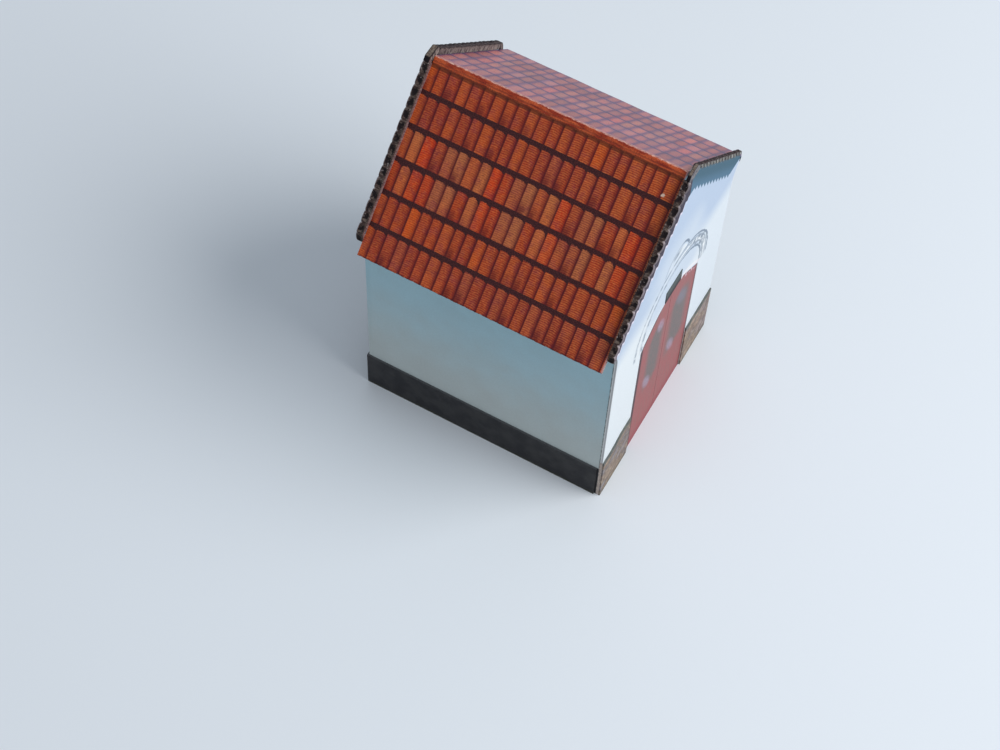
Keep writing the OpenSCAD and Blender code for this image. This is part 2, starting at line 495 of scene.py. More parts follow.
class RoofPlace:
    """A point of the roof's print: its place on the flat sheet, its tile's column and course, how far
    it lies in them from 0 to 1, the tile's random numbers, and the noises of the print."""

    def __init__(self, finish, look):
        self.across, self.up = finish.sheet()
        self.flat = (self.across, self.up, 0.0)
        x, self.y = finish.place()[:2]
        self.right = x.rise(-0.1, 0.1)
        sway = finish.wander(self.across * 0.4) - 0.5
        column = (self.across + sway * 0.55) / mm(look.tile_width)
        course = (self.up - mm(look.first_course)) / mm(look.course_height) + 1
        self.cell, self.lane = column.floor(), column.fract()
        self.row, self.level = course.floor(), course.fract()
        self.sixth = ((self.cell + 0.5) / 6).fract()
        self.chance, self.mood, self.weight = finish.dice(self.cell, self.row)
        self.cloud = finish.noise(self.flat, 0.9)
        self.fine = finish.noise(self.flat, 5.0, 1.0)
        self.speck = finish.noise(self.flat, 2.6)
        self.uneven_up = self.up + (self.fine - 0.5) * 0.2


def tile_tone(finish, look, at):
    """Colour of a tile. From the eaves up the courses are dull, warm, varied by sixes twice, dull and
    warm, with the pick by chance, column and threes. Clouds, plum stains and specks lie over it."""
    brick, orange, tan = tuple(look.brick), tuple(look.orange), tuple(look.tan)
    third = abs(((at.cell + 1.5) / 3).fract() - 0.5).fall(0.1, 0.3)
    pick = at.chance * 0.4 + finish.dice(at.cell, 7.0)[0] * 0.15 + third * 0.4
    warm = {0.1: brick, 0.45: srgb(182, 66, 32), 0.6: srgb(194, 82, 40), 0.8: orange}
    dull = {0.1: srgb(150, 46, 34), 0.4: srgb(172, 58, 34), 0.6: srgb(168, 76, 58), 0.8: srgb(192, 78, 34)}
    varied = {0.08: srgb(186, 60, 28), 0.22: srgb(198, 112, 66), 0.42: srgb(222, 58, 12)}
    varied.update({0.58: brick, 0.74: tan, 0.9: srgb(184, 106, 70)})
    dull_row = at.row.fall(0.3, 0.7).most(abs(at.row - 4).fall(0.3, 0.7))
    varied_row = abs(at.row - 2.5).fall(0.6, 1.4)
    glow = at.level.fall(0.1, 0.9) * at.mood * 0.4
    plum = finish.noise((at.across, at.up, 9.0), 0.55, 3.0).rise(0.48, 0.66)
    colour = finish.laid(
        finish.ramp(pick, warm),
        (dull_row, finish.ramp(pick, dull)),
        (varied_row, finish.ramp(at.sixth + (at.chance - 0.5) * 0.16, varied)),
        (glow, orange),
        (plum * 0.4, srgb(128, 38, 66)),
    )
    return finish.laid(
        finish.scaled(colour, 0.62 + at.cloud * 0.68),
        (at.speck.rise(0.5, 0.68) * 0.35, srgb(208, 112, 66)),
        (at.speck.fall(0.34, 0.46) * 0.3, srgb(112, 34, 52)),
    )


def tile_drawing(finish, look, at):
    """Layers of a tile's drawing: ribs that bow across it, a shaded side, a stain and its joint."""
    bow = (at.lane - 0.4) ** 2 * 0.5
    rib_up = at.up + bow + (at.cloud - 0.5) * 0.3 + (at.fine - 0.5) * 0.16
    rib = (rib_up * (2 * math.pi / mm(look.rib_spacing))).sine() * 0.5 + 0.5
    rib = rib * (0.4 + 1.2 * finish.noise(at.flat, 2.0, 1.0))
    printed = 0.6 + at.across.rise(0.0, 2 * ROOF_END) * 0.4
    stain = at.level.fall(0.1, 0.55) * at.lane.fall(0.25, 0.9) * at.weight.rise(0.72, 0.8)
    side = at.lane.rise(0.5, 0.95) * 0.55
    joint = at.lane.rise(0.82, 0.95).most(at.lane.fall(0.0, 0.08)) * (0.6 + 0.25 * at.mood)
    wide_joint = at.lane.rise(0.66, 0.95).most(at.lane.fall(0.0, 0.2)) * at.right * 0.6
    return [
        (rib * at.lane.fall(0.55, 0.95) * printed * 0.4, srgb(224, 136, 76)),
        ((1 - rib) * printed * 0.38, look.joint),
        (side.most(stain * 0.7), look.joint),
        (joint.most(wide_joint), srgb(74, 18, 28)),
    ]


def band_share(look, at):
    """Share of the dark bands between courses. Their lower edge follows the heads of the tiles."""
    half_band = mm(look.band_height) / mm(look.course_height) / 2
    arched = abs(at.sixth - 0.25).fall(0.04, 0.1) * abs(at.row - 2).fall(0.3, 0.7)
    corner = at.lane.rise(0.3, 1.1) ** 2 * 0.07 + arched * abs(at.lane * 2 - 0.9) ** 2 * 0.09
    head = 1 - half_band - at.mood * 0.03 - corner + (at.fine - 0.5) * 0.05
    under_band = (at.level - head).rise(-0.02, 0.015) * at.row.fall(4.2, 4.8)
    over_band = (at.level + (at.fine - 0.5) * 0.02).fall(half_band - 0.006, half_band + 0.01)
    return under_band.most(over_band) * at.up.rise(0.5, 1.0)


def ridge_layers(finish, look, at):
    """Layers of the left slope's plain print under the fold, and of the dark line at its foot."""
    foot, left = SLOPE_L - mm(look.ridge_band), 1 - at.right
    streaks = finish.noise((at.across * 0.4, at.up * 1.8, 2.0), 1.0)
    ridge = finish.laid(
        srgb(148, 50, 30),
        (streaks.rise(0.36, 0.64), srgb(198, 90, 50)),
        (at.speck.rise(0.62, 0.74) * 0.25, srgb(214, 148, 128)),
        (at.fine.fall(0.36, 0.5) * 0.2, look.joint),
        (at.uneven_up.line(foot + 0.55, 0.34) * 0.45, srgb(84, 30, 28)),
    )
    return [
        (at.uneven_up.rise(foot - 0.05, foot + 0.05) * left, ridge),
        (at.uneven_up.line(foot - 0.1, 0.9) * left * 0.68, srgb(66, 34, 20)),
    ]


def rim_layers(at):
    """Layers of the pale cut at the front, the frayed eaves and a light fleck on the left slope."""
    fleck_across, fleck_up = 40.6, 28.1
    cut = (at.y + ROOF_END + (at.fine - 0.5) * 0.1).fall(0.14, 0.28)
    frayed = (at.up + (at.speck - 0.5) * 0.6).fall(0.02, 0.22)
    to_fleck = squares(at.across - fleck_across, at.up - fleck_up)
    fleck = (to_fleck + (at.speck - 0.5) * 0.4).fall(0.02, 0.1)
    return [
        (cut * 0.8, srgb(206, 158, 158)),
        (frayed * 0.7, srgb(62, 26, 24)),
        (fleck * (1 - at.right), srgb(232, 206, 186)),
    ]


def right_sheen_layers(look, at, band):
    """Layers of painted sheen on the right slope, seen at a grazing angle: greyed tiles, the pale
    middle of each, and mauve over all.
    """
    greyed = (at.mood.rise(0.5, 0.95) * 0.4).most(at.speck.rise(0.5, 0.7) * 0.4) * (1 - band)
    pillow_sheen = squares(at.lane * 2 - 0.9, at.level * 2 - 0.9).fall(0.1, 1.1)
    return [
        (at.right * greyed, srgb(166, 108, 110)),
        (at.right * pillow_sheen * 0.26, srgb(226, 160, 136)),
        (at.right * (0.26 - pillow_sheen * 0.1), look.mauve_sheen),
    ]


def fold_layers(finish, at):
    """Layers of the print made pale beside the fold on the right, partly rubbed and partly a painted
    highlight of the fold, and worn off in places along the fold.
    """
    rubbed_and_highlight = at.up.rise(SLOPE_L - 1.2, SLOPE_L - 0.3) * at.right * (0.15 + 0.5 * at.speck)
    patches = finish.noise(at.flat, 1.1, 3.0).rise(0.4, 0.62)
    worn = at.uneven_up.rise(SLOPE_L - 0.26, SLOPE_L - 0.08) * patches
    return [(rubbed_and_highlight, srgb(224, 158, 134)), (worn * 0.8, srgb(228, 186, 170))]


def roof_print(look):
    """Printed clay tiles: courses between dark bands, each tile with ribs, a joint and its own tone."""
    finish = Finish("roof_print", roughness=0.4, specular=0.16)
    at = RoofPlace(finish, look)
    band = band_share(look, at)
    band_tone = finish.mix(at.fine.rise(0.42, 0.62) * 0.5, look.band, srgb(84, 42, 40))
    colour = finish.laid(
        tile_tone(finish, look, at),
        *tile_drawing(finish, look, at),
        (band, band_tone),
        *ridge_layers(finish, look, at),
        *rim_layers(at),
        *right_sheen_layers(look, at, band),
    )
    # The right slope's tiles made darker at random, under their painted sheen
    colour = finish.scaled(colour, 1 + at.right * (at.chance - 0.82) * 0.3)
    colour = finish.laid(colour, *fold_layers(finish, at))
    colour = finish.scaled(colour, 0.66 + at.fine * 0.68)
    return finish.finish(colour, paper_grain(finish, at.flat), 0.05, 0.36 + at.fine * 0.1)


def card_back(walls):
    """Unprinted underside of the roof sheet."""
    finish = Finish("roof_card", roughness=0.7, specular=0.2)
    fine = finish.noise(finish.place(), 4.0, 3.0)
    colour = finish.mix(fine.rise(0.3, 0.7), walls.cut, srgb(196, 200, 198))
    return finish.finish(colour, fine, 0.04)


def cut_edge():
    """Cut edge of the roof sheet: pale core between brownish skins."""
    finish = Finish("cut_edge", roughness=0.75, specular=0.15)
    fine = finish.noise(finish.place(), 5.0, 3.0)
    colour = finish.mix(fine.rise(0.35, 0.6), srgb(128, 70, 56), srgb(206, 178, 168))
    return finish.finish(colour, fine, 0.06)


def wall_tone(finish, walls, place):
    """Colour of the walls' card and its fine grain. It is bluer towards the eaves as painted shade,
    and greyer and lighter low down as painted bounce light.
    """
    cloud = finish.noise(place, 0.22, 3.0)
    fine = finish.noise(place, 2.6, 3.0)
    # Painted shade towards the eaves, and painted bounce light low down
    share = (place[2] + (cloud - 0.5) * 8).rise(8.0, 38.0)
    colour = finish.mix(share, walls.low, walls.high)
    return finish.scaled(colour, 0.87 + cloud * 0.14 + fine * 0.12), fine


def edge_tone(finish, walls, place):
    """Colour of the gables' cut side edges, and its grain. From the front print inwards come paper,
    a glue line, the card's core, a painted shadow in the gap before the wall's card, broken into
    dashes, and the wall's card lapped over. At the foot the stone and the dark strips' print runs
    on. The back gable's edges are like the walls."""
    y, z = place[1:]
    glue_depth, lap_depth = 0.2, 0.54
    wall, fine = wall_tone(finish, walls, place)
    depth = y - FACE_Y + (fine - 0.5) * 0.06
    lapped = finish.mix(z.fall(SIDE_SOCLE_TOP - 0.1, SIDE_SOCLE_TOP + 0.1), wall, walls.foot_joint)
    stone = finish.mix(fine.rise(0.4, 0.6), srgb(220, 206, 196), srgb(186, 170, 164))
    # Painted shadow in the gap between the gable and the wall's card, broken into dashes
    gap_shadow_dashes = finish.noise((0.0, 0.0, z), 0.75, 3.0).rise(0.44, 0.52)
    colour = finish.laid(
        walls.cut,
        (depth.line(glue_depth, 0.2) * 0.6, srgb(158, 158, 170)),
        (z.fall(STONE_TOP - 1.1, STONE_TOP - 0.7), stone),
        (depth.rise(lap_depth - 0.04, lap_depth + 0.04), lapped),
        (depth.line(lap_depth, 0.2) * (0.4 + 0.4 * gap_shadow_dashes), srgb(48, 58, 66)),
        (y.rise(-1.0, 1.0), lapped),
    )
    return colour, fine


def gable_card(walls):
    """Card of the gables, of which only the cut edges show."""
    finish = Finish("gable_card", roughness=0.6, specular=0.15)
    colour, fine = edge_tone(finish, walls, finish.place())
    return finish.finish(colour, fine, 0.05)


def wall_card(walls):
    """Plain smooth card of the side walls."""
    finish = Finish("wall_card", roughness=0.42, specular=0.25)
    colour, fine = wall_tone(finish, walls, finish.place())
    return finish.finish(colour, fine, 0.03)


def mould_shares(look, x, z, radius, blotch):
    """Shares of dark and of light in the hood mould, a ring between two radii. Its lines are crisp
    on the right and soft on the left, with blotches for leaves between them."""
    inner, outer, foot = mm(look.mould_inner), mm(look.mould_outer), mm(look.mould_foot)
    right = x.rise(-1.0, 3.0)
    above_foot = z.rise(foot - 0.6, foot + 0.6)
    crisp = radius.line(inner, 0.55).most(radius.line(inner + 0.8, 0.45) * 0.8)
    crisp = crisp.most(radius.line(outer, 0.55)).most(radius.line(outer - 0.65, 0.4) * 0.7)
    soft = radius.line(inner + 0.2, 1.1).most(radius.line(outer - 0.2, 1.0)) * (0.2 + 0.7 * blotch)
    body = radius.rise(inner, inner + 0.5) * radius.fall(outer - 0.4, outer)
    leaves = body * blotch * x.rise(3.5, 6.0) * x.fall(10.0, 12.0) * 0.9
    dark = (crisp * (0.15 + 0.8 * right)).most(soft * (0.85 - 0.5 * right)).most(leaves) * above_foot
    light = body * radius.line((inner + outer) / 2, 1.4) * above_foot * 0.6
    return dark, light


def crest_shares(look, x, z, over_mould, blotch):
    """Shares of dark and of light in the small crest: a ring over the mould, with a blotch in it."""
    crest_x, crest_z, crest_radius = -0.3, mm(look.crest_middle), mm(look.crest_radius)
    off_x = x - crest_x
    radius = squares(off_x, z - crest_z) ** 0.5
    above = over_mould.rise(-0.6, 0.2) * z.rise(crest_z + 0.8, crest_z + 1.4)
    ring = radius.line(crest_radius, 0.65) * above * (0.35 + 0.6 * x.rise(0.0, 2.5))
    blob = abs(off_x + 0.3).fall(0.7, 1.9) * abs(z - (crest_z + 3.1)).fall(0.2, 0.9) * (0.5 + 0.5 * blotch)
    light = radius.fall(crest_radius - 0.9, crest_radius - 0.3) * above * 0.7
    return ring, blob * 0.9, light


def relief_layers(look, x, z, grain):
    """Layers of the print over the door: light, then the dark of the hood mould and its crest, then
    a white line over the right half of the door's arch, z = door top - x squared / flatness."""
    lowness, arch_flatness, arch_foot = 0.94, 22, 31.3
    radius = squares(x, (z - mm(look.mould_middle)) / lowness) ** 0.5 + (grain - 0.5) * 0.6
    blotch = grain.rise(0.42, 0.6)
    dark, light = mould_shares(look, x, z, radius, blotch)
    ring, blob, crest_light = crest_shares(look, x, z, radius - mm(look.mould_outer), blotch)
    light = light.most(crest_light) * (1 - blotch * 0.6) * (0.5 + 0.5 * x.rise(-1.0, 3.0))
    arch = z - DOOR_TOP + x * x / arch_flatness
    arch_line = arch.line(0.5, 1.2) * (x.rise(1.0, 3.0) * z.rise(arch_foot, arch_foot + 0.5))
    return [
        (light, srgb(248, 251, 252)),
        (dark.most(ring).most(blob) * 0.85, look.line),
        (arch_line * 0.6, srgb(250, 244, 248)),
    ]


def plaster_tone(finish, look, place, fine, with_door):
    """Plaster that turns from white to lavender up the gable, on the front in soft clouds."""
    x, z, half = place[0], place[2], abs(place[0])
    if with_door:
        cloud = finish.noise(place, 0.12)
        high = z.rise(38.0, 46.0) * (0.5 + 0.35 * half.rise(4.0, 12.0) + cloud * 0.2)
        high = high.most(z.rise(33.0, 38.0) * half.fall(6.0, 12.0) * 0.6)
        high = high + z.rise(47.0, 57.0) * 0.45 + x.rise(6.0, 13.0) * 0.18
    else:
        high = z.rise(28.0, 52.0)
    return finish.scaled(finish.mix(high, look.white, look.lavender), 0.945 + fine * 0.09)


def shade_layers(finish, look, place, fine):
    """Layers of the toothed shades under the slopes, and of a pale outline on the left. A shade's edge
    keeps one height below the rim's line on the right, and comes nearer to it further out on the left."""
    x, y, z = place
    half, right = abs(x), x.rise(0.0, 0.2)
    foot, flat_top = mm(look.shade_foot), mm(look.flat_top)
    below = RIM_Z - half * math.tan(PITCH) - z
    point = abs((half / (math.cos(PITCH) * mm(look.tooth))).fract() - 0.5) * 2
    left_edge = mm(look.left_shade) - half * look.left_taper
    edge = left_edge * (1 - right) + right * mm(look.right_shade)
    beyond = below + point * mm(look.tooth_height) - edge
    shaded = (beyond + (fine - 0.5) * 0.3).fall(-0.15, 0.15) * (1 - right * z.fall(foot, foot + 0.2))
    shaded = shaded.most(z.rise(flat_top - 0.1, flat_top + 0.1))
    outline = beyond.line(0.3, 0.7) * (1 - right) * z.fall(flat_top - 1.0, flat_top - 0.5)
    streaks = finish.noise((x * 1.2, y, z * 0.6), 1.8)
    plum = finish.laid(
        look.plum_shade,
        (half.rise(8.0, 18.0) * 0.5, srgb(104, 98, 112)),
        (streaks.rise(0.45, 0.6) * 0.5, srgb(44, 36, 46)),
    )
    blue = finish.mix((below / 4).rise(0.3, 1.0) * 0.7, look.blue_shade, srgb(88, 124, 152))
    return [(outline * 0.7, srgb(244, 232, 246)), (shaded, finish.mix(right, plum, blue))]


def gable_print(look, walls, name, with_door):
    """Printed plaster: toothed shades under the slopes, and over the door a hood mould."""
    finish = Finish(name, roughness=0.5, specular=0.06)
    place = finish.place()
    fine = finish.noise(place, 4.0)
    plaster = plaster_tone(finish, look, place, fine, with_door)
    colour = finish.laid(plaster, *shade_layers(finish, look, place, fine))
    if with_door:
        grain = finish.noise(place, 0.9, 3.0)
        colour = finish.laid(colour, *relief_layers(look, place[0], place[2], grain))
    normal = finish.node("NewGeometry", {}, {}, "True Normal")
    facing = abs(finish.parts(normal)[1]).rise(0.4, 0.6)
    colour = finish.mix(facing, edge_tone(finish, walls, place)[0], colour)
    return finish.finish(colour, paper_grain(finish, place), 0.04)


class StripPlace:
    """A point of the tile strips' print. Along counts tiles down the slope, and is about -1.5 on the
    crown tile. Across 0 to 1 is the top from the front edge to the back edge, below 0 is the front
    face and over 1 the inner face. To joint is a point's distance from the nearest joint."""

    def __init__(self, finish):
        self.along, self.across = finish.sheet()
        self.place = finish.place()
        x, y = self.place[:2]
        self.left = x.fall(-1.1, -0.9)
        self.front = y.fall(-1.0, 1.0)
        self.crown = self.along.fall(-0.6, -0.4)
        self.low_part = abs(x).rise(5.0, 14.0)
        self.tile = self.along.fract()
        self.to_joint = 0.5 - abs(self.tile - 0.5)
        self.chance, self.shift = finish.dice((self.along + 0.5).floor(), 3.0)[:2]
        self.fine = finish.noise(self.place, 3.2, 3.0)
        self.streak = finish.noise((self.along * 9.0, self.across * 1.2, 0.0), 1.0)
        self.wobble = finish.noise((self.along * 2.3, self.across * 2.0, 5.0), 1.0, 1.0) - 0.5


def left_strip_top(finish, look, at):
    """Top of the left rows: a dark ragged hollow in each tile, partly dark print and partly painted
    shadow, painted highlights at the joints, and flecks.
    """
    ragged = at.wobble + (at.fine - 0.5) * 0.4
    # Dark print and painted shadow in each tile's hollow
    hollow = abs(at.tile + ragged - 0.5).fall(0.16, 0.34)
    hollow = hollow * (at.across + ragged * 0.5).rise(0.04, 0.18)
    hollow = hollow * (at.across + ragged * 0.6).fall(0.74, 0.98)
    # Painted highlights on the lip at the joints
    mark = (at.to_joint + at.wobble * 0.2).fall(0.03, 0.13) * at.across.line(0.04, 0.4)
    mark = mark * at.chance.rise(0.4, 0.9)
    flecks = finish.noise(at.place, 2.4, 1.0).rise(0.6, 0.7) * at.shift.rise(0.4, 0.8)
    return finish.laid(
        look.brown,
        (at.streak.rise(0.42, 0.66) * 0.9, look.beige),
        (hollow * 0.95, look.dark),
        ((mark * 0.6).most(flecks * 0.35) * at.left, look.mark),
    )


def strip_top(finish, look, at):
    """Top of the rows: the right ones streaked and darker on one side, with a pale lip on the left
    rows and a seam along the front rows' back edge."""
    dark_side = (at.across + at.wobble * 0.6).fall(0.25, 0.5) * (1 - at.front)
    dark_side = dark_side + at.across.rise(0.5, 0.8) * at.front
    lip = (at.across + at.wobble * 0.2).fall(0.03, 0.09) * at.left
    seam = (at.across + (at.fine - 0.5) * 0.2).rise(0.84, 0.94) * at.front
    left_seam = finish.mix(at.streak.rise(0.45, 0.55), srgb(70, 36, 24), srgb(140, 84, 52))
    return finish.laid(
        srgb(48, 36, 40),
        (at.streak.rise(0.45, 0.7) * 0.7, srgb(108, 98, 92)),
        (dark_side * 0.8, look.dark),
        (at.left, left_strip_top(finish, look, at)),
        (lip * 0.85, look.lilac),
        (seam * 0.85, finish.mix(at.left, srgb(142, 108, 122), left_seam)),
    )


def left_strip_face(finish, look, at):
    """Front face of the left rows: lilac paper, greyer near the crown and darker at its foot as
    painted shade, with painted highlights at some joints.
    """
    # Painted highlights at some joints
    light = (at.to_joint + at.across * 0.06).fall(0.04, 0.16) * at.across.rise(-0.9, -0.6)
    return finish.laid(
        srgb(104, 98, 100),
        (at.low_part, look.lilac),
        (at.fine.rise(0.4, 0.65) * 0.8, srgb(94, 86, 96)),
        (at.across.fall(-0.9, -0.3) * 0.6, srgb(84, 76, 90)),
        (light * at.chance.rise(0.3, 0.9) * 0.5, look.mark),
    )


def right_strip_face(finish, look, at):
    """Front face of the right rows: leaning light ticks, painted blue shade at its foot, and at the
    row's end a plum patch, a painted highlight and a dark patch."""
    leaning = at.tile + at.across * 0.2 + at.wobble * 0.3
    ticks = abs(leaning - 0.3).fall(0.05, 0.15).most(abs(leaning - 0.8).fall(0.03, 0.1) * 0.6)
    ticks = ticks * (at.across + at.wobble * 0.5).line(-0.4, 0.8) * (0.3 + 0.7 * at.chance)
    # Painted blue shade at the foot, running on from the shade under the right slope
    blue_shade_foot = (at.across + at.wobble * 0.6).fall(-0.95, -0.5) * at.front
    end = at.along - look.tiles
    plum_end = end.rise(-0.9, -0.5) * at.across.line(-0.7, 0.6)
    # Painted highlight near the row's end
    pale_end_highlight = abs(end - 0.1).fall(0.2, 0.4) * at.across.line(-0.35, 0.9)
    return finish.laid(
        srgb(54, 46, 48),
        (at.fine.rise(0.4, 0.65), srgb(96, 96, 92)),
        (ticks, srgb(160, 160, 156)),
        (blue_shade_foot, srgb(78, 106, 122)),
        (plum_end * 0.8, srgb(110, 92, 124)),
        (pale_end_highlight * 0.8, srgb(188, 176, 194)),
        (end.rise(0.3, 0.45), srgb(30, 44, 60)),
    )


def strip_inner(finish, look, at):
    """Inner face over the roof: hatched, dark at its top, and on the left reddish with a pink foot."""
    hatch = finish.noise((at.along * 7.0, at.across * 0.8, 3.0), 1.0)
    return finish.laid(
        srgb(66, 56, 58),
        (hatch.rise(0.4, 0.6), srgb(140, 128, 122)),
        (at.left * 0.5, srgb(118, 88, 90)),
        ((at.across - at.wobble * 0.3).fall(1.04, 1.3) * 0.85, look.dark),
        (at.across.rise(1.9, 1.97) * at.left * 0.7, srgb(196, 140, 146)),
    )


def strip_print(look):
    """Print of the parapet tiles: their tops, front faces and inner faces, and the crown tile's."""
    finish = Finish("strip_print", roughness=0.55, specular=0.12)
    at = StripPlace(finish)
    grained = at.fine.rise(0.4, 0.6)
    crown_top = finish.laid(
        srgb(86, 74, 68),
        (grained, srgb(116, 104, 94)),
        (abs(at.across - 0.5).rise(0.34, 0.46) * 0.85, look.dark),
        (abs(at.along + 1.5).rise(0.27, 0.33), look.dark),
    )
    crown_face = finish.mix(grained, srgb(128, 126, 128), srgb(86, 84, 92))
    face = finish.mix(at.left, right_strip_face(finish, look, at), left_strip_face(finish, look, at))
    colour = finish.laid(
        finish.mix(at.crown, face, crown_face),
        (at.across.rise(-0.02, 0.0), finish.mix(at.crown, strip_top(finish, look, at), crown_top)),
        (at.across.rise(1.0, 1.02), strip_inner(finish, look, at)),
    )
    return finish.finish(finish.scaled(colour, 0.75 + at.fine * 0.5), at.fine, 0.06)


def spot(x, z, middle_x, middle_z, half_width, half_height, slant):
    """1 in the middle of a soft ellipse whose upright axis leans to the left, fading to 0."""
    off_x = (x - middle_x + (z - middle_z) * slant) / half_width
    return squares(off_x, (z - middle_z) / half_height).fall(0.0, 1.6)


def light_layers(finish, look, place, grain, fine):
    """Layers of the soft grey light in each leaf with a painted cool reflection, and of the painted
    glints on them.
    """
    x, z = place[0], place[2]
    light_x, right_shift = 4.25, 0.11
    # A painted cool reflection in the right leaf's light
    cool_reflection_place = (5.0, 28.4, 1.8, 3.4, 0.5)
    glint_places = ((-5.2, 16.0, 1.2, 2.4, 0.4), (3.4, 15.8, 1.2, 2.4, 0.4), (-2.5, 29.4, 1.2, 2.0, 0.3))
    half_width, foot, head = mm(look.light_width) / 2, mm(look.light_foot), mm(look.light_head)
    off = abs(abs(x) - light_x - x * right_shift)
    wobble = (grain - 0.5) * 1.6
    glass = (off + wobble).fall(half_width - 1.4, half_width + 1.2)
    glass = glass * (z + wobble).rise(foot - 1.8, foot + 1.8)
    glass = glass * (z + off * 0.7 + wobble).fall(head - 2.4, head + 0.8)
    grey = finish.laid(
        look.glass,
        (spot(x, z, *cool_reflection_place) * 0.8, srgb(124, 126, 142)),
        (fine.rise(0.42, 0.62) * 0.4, srgb(134, 100, 98)),
    )
    glints = [spot(x, z, *glint_place) for glint_place in glint_places]
    glint = glints[0].most(glints[1]).most(glints[2])
    return [(glass * 0.95, grey), (glint * (0.1 + 0.6 * fine), srgb(194, 174, 204))]


def door_print(look):
    """Printed leaves: red boards with one soft grey light each, dark lines at the jambs and under the
    head, and plaster over the head, whose line rises by the haunch's slope from each jamb."""
    finish = Finish("door_print", roughness=0.42, specular=0.1)
    place = finish.place()
    x, y, z = place
    grain = finish.noise((x * 1.4, y, z * 0.25), 1.0, 3.0)
    fine = finish.noise(place, 2.5)
    over_head = z - DOOR_TOP + mm(look.arch_rise) - (DOOR_HALF - abs(x)) * look.haunch
    width = mm(look.frame_line)
    left_line = (x + DOOR_HALF + (grain - 0.5) * 0.3).fall(width * 0.8, width * 1.05)
    left_line = left_line.most(over_head.rise(-0.9, -0.5) * x.fall(-1.0, 1.0))
    right_line = (DOOR_HALF - x).fall(0.15, 0.4).most(over_head.rise(-0.55, -0.3) * x.rise(0.0, 2.0))
    worn = over_head.rise(-1.2, -0.5) * x.rise(2.6, 3.6) * finish.noise(place, 1.0).rise(0.52, 0.58)
    colour = finish.laid(
        look.red,
        (grain.rise(0.35, 0.65) * 0.7, srgb(148, 98, 96)),
        (z.fall(0.5, 4.0) * 0.7, look.foot_red),
        *light_layers(finish, look, place, grain, fine),
        (abs(x).fall(0.04, 0.16) * 0.35, srgb(110, 50, 52)),
        (right_line * 0.75, srgb(100, 44, 60)),
        (left_line * (0.75 + 0.3 * fine), srgb(44, 28, 40)),
        (worn * 0.9, srgb(232, 204, 214)),
    )
    colour = finish.scaled(colour, 0.86 + fine * 0.28)
    colour = finish.mix((over_head + (fine - 0.5) * 0.2).rise(-0.06, 0.1), colour, look.plaster)
    return finish.finish(colour, fine, 0.03)


def keystone_print(look):
    """Dark keystone, greyer at its head and plum at its foot."""
    finish = Finish("keystone_print", roughness=0.5, specular=0.1)
    place = finish.place()
    fine = finish.noise(place, 2.2, 3.0)
    foot = (place[2] - DOOR_TOP + (fine - 0.5) * 1.4).fall(0.5, 1.9)
    colour = finish.mix(foot, look.keystone, srgb(40, 30, 36))
    return finish.finish(finish.scaled(colour, 0.7 + fine * 0.6), fine, 0.03)


def stone_print(look):
    """Printed rubble: soft brown and grey stones with darker joints, with painted shade along the
    top edge and at the foot.
    """
    finish = Finish("stone_print", roughness=0.5, specular=0.08)
    across, up = finish.sheet()
    flat = (across, up, 0.0)
    shift = finish.noise(flat, 0.35) - 0.5
    stone_across = (across + shift * 2.5) / mm(look.stone_width)
    stone_up = (up + shift * 2.0) / mm(look.stone_height)
    cells = {"Vector": finish.vector(stone_across, stone_up, 0.0), "Scale": 1.0, "Randomness": 0.85}
    tone = finish.parts(finish.node("TexVoronoi", {}, cells, "Color"))[0]
    to_edge = finish.node("TexVoronoi", {"feature": "DISTANCE_TO_EDGE"}, cells, "Distance")
    cloud = finish.noise(flat, 0.9, 3.0)
    fine = finish.noise(flat, 3.0)
    speck = finish.noise((across, up * 1.4, 6.0), 1.9)
    crest = (up + (fine - 0.5) * 0.8).rise(STONE_TOP - 1.3, STONE_TOP - 0.4)
    stones = finish.laid(
        look.stone_brown,
        (tone.rise(0.3, 0.7), look.stone_grey),
        (tone.rise(0.8, 0.95) * 0.6, srgb(184, 160, 138)),
        (across.rise(0.0, 1.0) * 0.4, srgb(176, 148, 130)),
        (across.rise(15.0, 19.0) * 0.5, srgb(142, 128, 136)),
    )
    colour = finish.laid(
        finish.scaled(stones, 0.3 + cloud * 1.4),
        (to_edge.fall(0.02, 0.2) * 0.5, srgb(90, 80, 76)),
        (speck.rise(0.56, 0.68) * 0.45, srgb(208, 196, 168)),
        (speck.fall(0.34, 0.44) * 0.35, srgb(104, 88, 92)),
        # Painted shade along the top edge, and at the foot
        (crest * 0.8, srgb(84, 94, 92)),
        (up.fall(0.2, 1.8) * 0.5, srgb(92, 88, 72)),
    )
    return finish.finish(colour, fine, 0.04)


def dark_strip(look):
    """Plain charcoal strip with a light cut edge along its top and an olive foot."""
    finish = Finish("dark_strip", roughness=0.55, specular=0.15)
    place = finish.place()
    z = place[2]
    cloud = finish.noise(place, 0.35, 3.0)
    fine = finish.noise(place, 2.4, 3.0)
    top = (z + (fine - 0.5) * 0.2).rise(SIDE_SOCLE_TOP - 0.12, SIDE_SOCLE_TOP - 0.04)
    foot = (z + (cloud - 0.5) * 1.5).fall(0.1, 0.7)
    charcoal = finish.mix(cloud.rise(0.35, 0.65), look.charcoal, srgb(56, 56, 58))
    colour = finish.laid(
        finish.scaled(charcoal, 0.8 + fine * 0.4),
        (top * 0.6, srgb(100, 102, 104)),
        (foot * 0.4, srgb(78, 80, 62)),
    )
    return finish.finish(colour, fine, 0.04)


def grid_quads(rows, columns, first=0):
    """Corner numbers of a grid's squares: each corner, its right, upper right and upper one."""
    corner = first + np.arange(rows - 1)[:, None] * columns + np.arange(columns - 1)[None, :]
    return np.stack([corner, corner + 1, corner + columns + 1, corner + columns], axis=-1).reshape(-1, 4)


